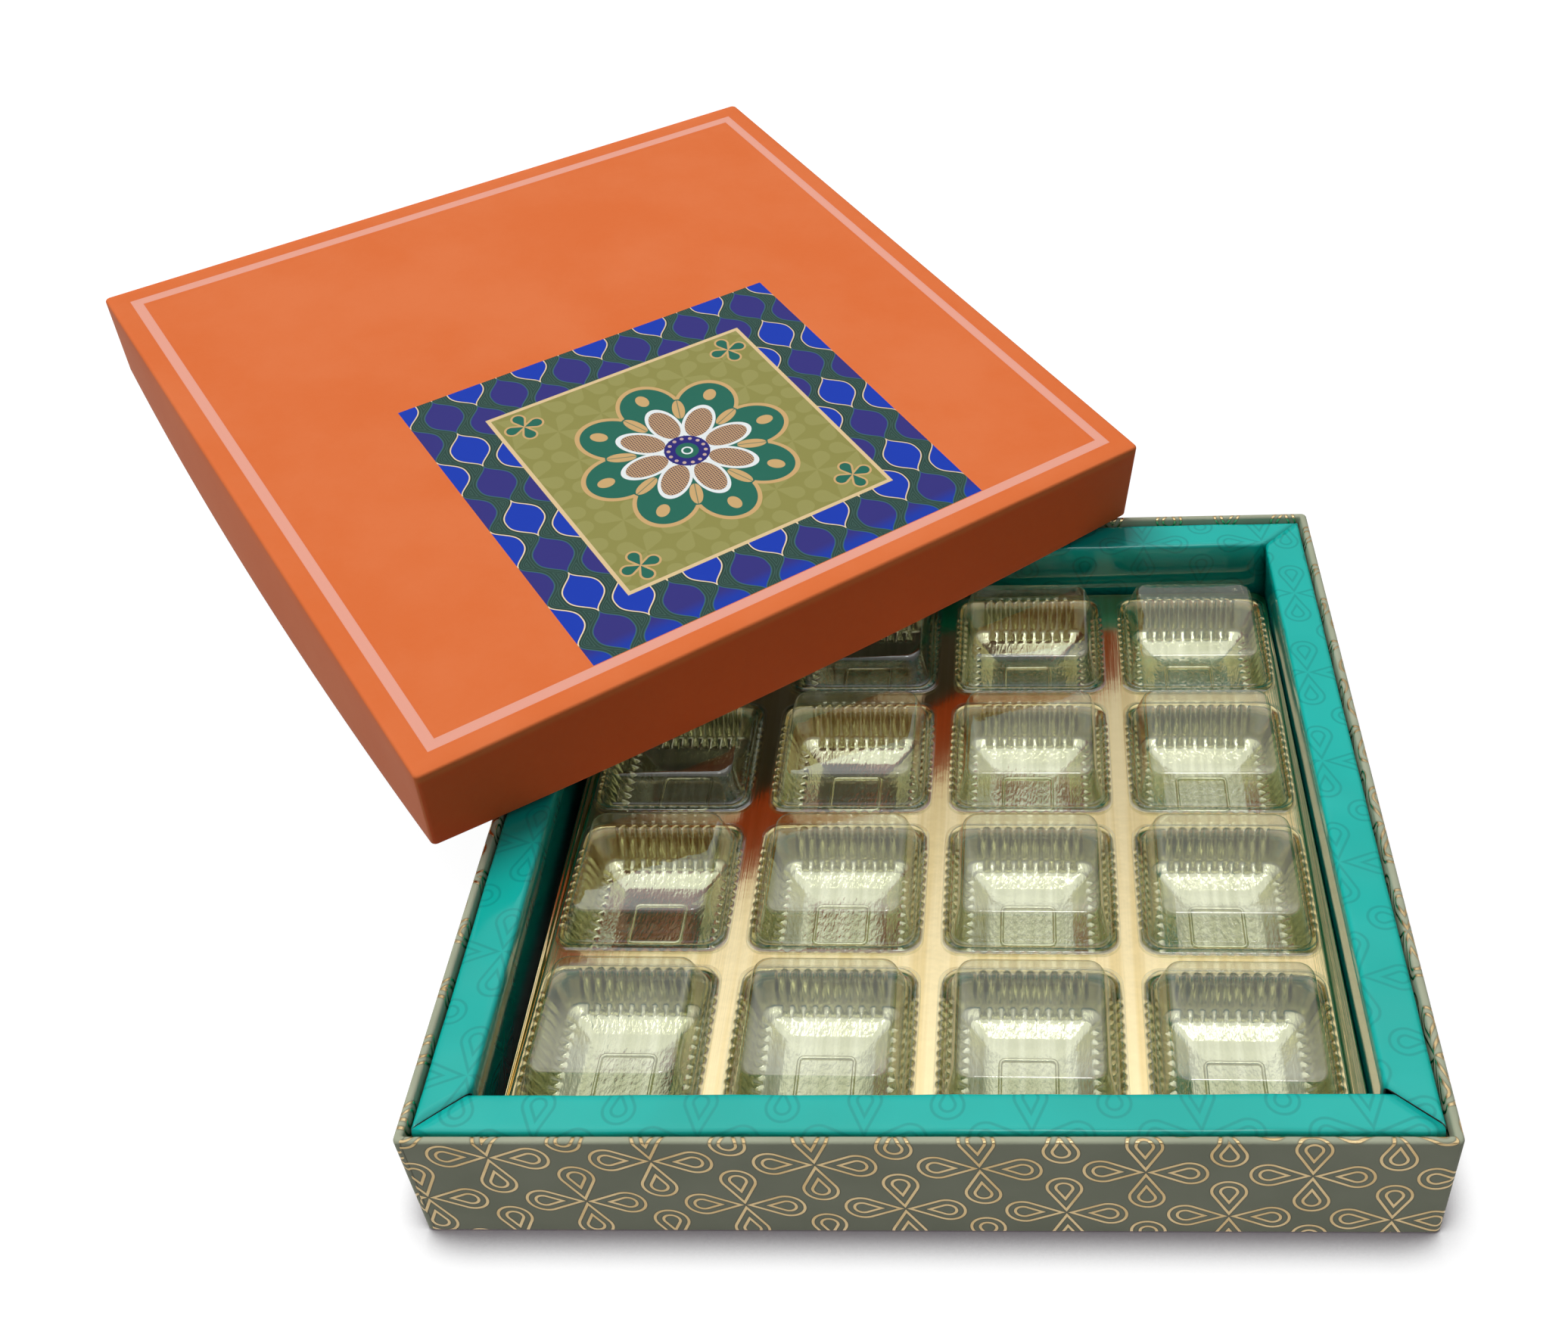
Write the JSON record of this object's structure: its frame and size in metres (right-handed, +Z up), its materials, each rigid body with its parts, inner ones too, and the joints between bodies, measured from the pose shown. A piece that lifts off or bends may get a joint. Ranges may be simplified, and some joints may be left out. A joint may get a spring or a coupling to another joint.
{
  "type": "chocolate box",
  "caption": "Rigid square gift box: telescoping lid leaning on an open base with a card platform frame, a gold formed tray with fluted cavities and clear caps.",
  "frame": {"origin": "middle of the base's underside", "axes": "+Z up, front of the base towards -Y, +X to the right seen from the front"},
  "size_m": [0.3392, 0.3673, 0.0887],
  "materials": {
    "greyboard": "matte grey board",
    "sage_wrap": "matte laminated paper with gold foil ornament",
    "orange_wrap": "matte laminated printed paper",
    "teal_card": "glossy printed card",
    "gold_sheet": "gold metallised vacuum-formed sheet",
    "clear_plastic": "clear formed plastic"
  },
  "bodies": {
    "base": {"base_board": "greyboard", "base_wrap": "sage_wrap", "platform_frame": "teal_card"},
    "tray": {"tray": "gold_sheet"},
    "lid": {"lid_board": "greyboard", "lid_wrap": "orange_wrap"},
    "cap_1_1": {"cap_1_1": "clear_plastic"},
    "cap_1_2": {"cap_1_2": "clear_plastic"},
    "cap_1_3": {"cap_1_3": "clear_plastic"},
    "cap_1_4": {"cap_1_4": "clear_plastic"},
    "cap_2_1": {"cap_2_1": "clear_plastic"},
    "cap_2_2": {"cap_2_2": "clear_plastic"},
    "cap_2_3": {"cap_2_3": "clear_plastic"},
    "cap_2_4": {"cap_2_4": "clear_plastic"},
    "cap_3_1": {"cap_3_1": "clear_plastic"},
    "cap_3_2": {"cap_3_2": "clear_plastic"},
    "cap_3_3": {"cap_3_3": "clear_plastic"},
    "cap_3_4": {"cap_3_4": "clear_plastic"},
    "cap_4_1": {"cap_4_1": "clear_plastic"},
    "cap_4_2": {"cap_4_2": "clear_plastic"},
    "cap_4_3": {"cap_4_3": "clear_plastic"},
    "cap_4_4": {"cap_4_4": "clear_plastic"}
  },
  "joints": [
    {"name": "tray_lift", "type": "slide", "parent": "base", "child": "tray", "axis": [-0.0686, 0, 0.9976], "range_m": [0, 0.035]},
    {"name": "lid_lift", "type": "slide", "parent": "tray", "child": "lid", "axis": [0, 0, 1], "range_m": [0, 0.08]},
    {"name": "cap_1_1_lift", "type": "slide", "parent": "tray", "child": "cap_1_1", "axis": [0, 0, 1], "range_m": [0, 0.04]},
    {"name": "cap_1_2_lift", "type": "slide", "parent": "tray", "child": "cap_1_2", "axis": [0, 0, 1], "range_m": [0, 0.04]},
    {"name": "cap_1_3_lift", "type": "slide", "parent": "tray", "child": "cap_1_3", "axis": [0, 0, 1], "range_m": [0, 0.04]},
    {"name": "cap_1_4_lift", "type": "slide", "parent": "tray", "child": "cap_1_4", "axis": [0, 0, 1], "range_m": [0, 0.04]},
    {"name": "cap_2_1_lift", "type": "slide", "parent": "tray", "child": "cap_2_1", "axis": [0, 0, 1], "range_m": [0, 0.0145]},
    {"name": "cap_2_2_lift", "type": "slide", "parent": "tray", "child": "cap_2_2", "axis": [0, 0, 1], "range_m": [0, 0.04]},
    {"name": "cap_2_3_lift", "type": "slide", "parent": "tray", "child": "cap_2_3", "axis": [0, 0, 1], "range_m": [0, 0.04]},
    {"name": "cap_2_4_lift", "type": "slide", "parent": "tray", "child": "cap_2_4", "axis": [0, 0, 1], "range_m": [0, 0.04]},
    {"name": "cap_3_1_lift", "type": "slide", "parent": "tray", "child": "cap_3_1", "axis": [0, 0, 1], "range_m": [0, 0.006]},
    {"name": "cap_3_2_lift", "type": "slide", "parent": "tray", "child": "cap_3_2", "axis": [0, 0, 1], "range_m": [0, 0.006]},
    {"name": "cap_3_3_lift", "type": "slide", "parent": "tray", "child": "cap_3_3", "axis": [0, 0, 1], "range_m": [0, 0.04]},
    {"name": "cap_3_4_lift", "type": "slide", "parent": "tray", "child": "cap_3_4", "axis": [0, 0, 1], "range_m": [0, 0.04]},
    {"name": "cap_4_1_lift", "type": "slide", "parent": "tray", "child": "cap_4_1", "axis": [0, 0, 1], "range_m": [0, 0.032]},
    {"name": "cap_4_2_lift", "type": "slide", "parent": "tray", "child": "cap_4_2", "axis": [0, 0, 1], "range_m": [0, 0.006]},
    {"name": "cap_4_3_lift", "type": "slide", "parent": "tray", "child": "cap_4_3", "axis": [0, 0, 1], "range_m": [0, 0.006]},
    {"name": "cap_4_4_lift", "type": "slide", "parent": "tray", "child": "cap_4_4", "axis": [0, 0, 1], "range_m": [0, 0.04]}
  ]
}
